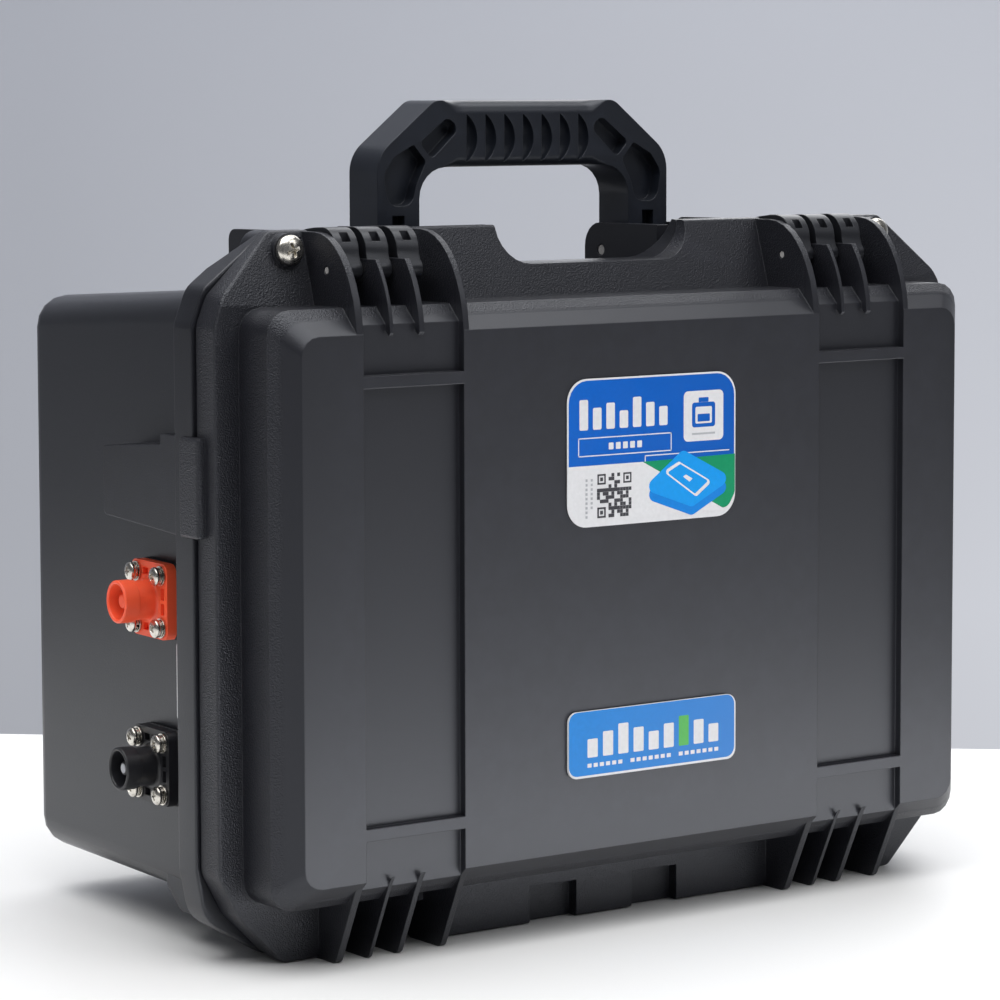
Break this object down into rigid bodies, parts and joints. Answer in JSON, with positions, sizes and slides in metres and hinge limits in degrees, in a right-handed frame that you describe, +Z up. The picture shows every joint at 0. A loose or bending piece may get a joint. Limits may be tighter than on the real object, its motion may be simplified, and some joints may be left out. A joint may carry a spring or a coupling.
{
  "type": "battery pack",
  "caption": "Portable lithium battery pack built into a rugged hinged hard case with a fold-down carry handle, toggle latches and round power sockets in one side wall.",
  "frame": {"origin": "middle of the narrow flat strip under the base's flange, on which the case stands", "axes": "+X to the right when facing the lid, +Y from the lid towards the back of the base, +Z up to the handle"},
  "size_m": [0.4413, 0.2463, 0.387],
  "materials": {
    "lid_plastic": "fine-grained moulded plastic",
    "base_plastic": "fine-grained moulded plastic",
    "handle_plastic": "moulded plastic, darker than the case",
    "rubber": "matt",
    "steel": "zinc-plated or stainless",
    "brass": "plain",
    "copper": null,
    "aluminium": "satin",
    "connector_red": "satin",
    "connector_black": "satin",
    "label_blue": "glossy printed label",
    "label_white": "paper-like label",
    "cell_wrap": "aluminium can in a blue sleeve",
    "module_case": "moulded plastic",
    "foam": "closed-cell foam",
    "cable_red": "silicone insulation",
    "cable_black": "silicone insulation"
  },
  "bodies": {
    "base": {"base_shell": "base_plastic", "rear_foot_left": "rubber", "rear_foot_right": "rubber", "connector_gasket_positive": "rubber", "connector_gasket_negative": "rubber", "label_side": "label_white", "handle_pin_left": "steel", "handle_pin_right": "steel", "hinge_pin_left": "steel", "hinge_pin_right": "steel", "stack_band_lower": "steel", "stack_band_upper": "steel", "connector_screw_positive_1": "steel", "connector_screw_positive_2": "steel", "connector_screw_positive_3": "steel", "connector_screw_positive_4": "steel", "connector_screw_negative_1": "steel", "connector_screw_negative_2": "steel", "connector_screw_negative_3": "steel", "connector_screw_negative_4": "steel", "bolt_insert_left": "brass", "bolt_insert_right": "brass", "connector_positive": "connector_red", "connector_negative": "connector_black", "contact_positive": "copper", "contact_negative": "copper", "busbar_1": "copper", "busbar_2": "copper", "busbar_3": "copper", "end_plate_left": "aluminium", "end_plate_right": "aluminium", "bms_heatsink": "aluminium", "cell_1": "cell_wrap", "cell_2": "cell_wrap", "cell_3": "cell_wrap", "cell_4": "cell_wrap", "bms_module": "module_case", "fuse": "module_case", "stack_foam": "foam", "lead_socket_fuse": "cable_red", "lead_fuse_cell": "cable_red", "lead_cell_module": "cable_black", "lead_module_socket": "cable_black"},
    "lid": {"lid_shell": "lid_plastic", "lid_gasket": "rubber", "lid_foam": "foam", "label_upper": "label_blue", "label_lower": "label_blue", "latch_pin_left": "steel", "latch_pin_right": "steel"},
    "left_latch": {"latch_left": "lid_plastic"},
    "right_latch": {"latch_right": "lid_plastic"},
    "carry_handle": {"handle": "handle_plastic"},
    "left_bolt": {"lock_bolt_left": "steel"},
    "right_bolt": {"lock_bolt_right": "steel"}
  },
  "joints": [
    {"name": "lid_hinge", "type": "hinge", "parent": "base", "child": "lid", "pos_m": [0, -0.012, 0.006], "axis": [1, 0, 0], "range_deg": [0, 100]},
    {"name": "left_latch_pivot", "type": "hinge", "parent": "lid", "child": "left_latch", "pos_m": [-0.14, -0.0385, 0.3122], "axis": [1, 0, 0], "range_deg": [0, 110]},
    {"name": "right_latch_pivot", "type": "hinge", "parent": "lid", "child": "right_latch", "pos_m": [0.1225, -0.0385, 0.3122], "axis": [1, 0, 0], "range_deg": [0, 110]},
    {"name": "handle_pivot", "type": "hinge", "parent": "base", "child": "carry_handle", "pos_m": [0, 0.046, 0.313], "axis": [-1, 0, 0], "range_deg": [-45, 90]},
    {"name": "left_bolt_travel", "type": "slide", "parent": "lid", "child": "left_bolt", "axis": [0, -1, 0], "range_m": [0, 0.025]},
    {"name": "right_bolt_travel", "type": "slide", "parent": "lid", "child": "right_bolt", "axis": [0, -1, 0], "range_m": [0, 0.025]}
  ]
}
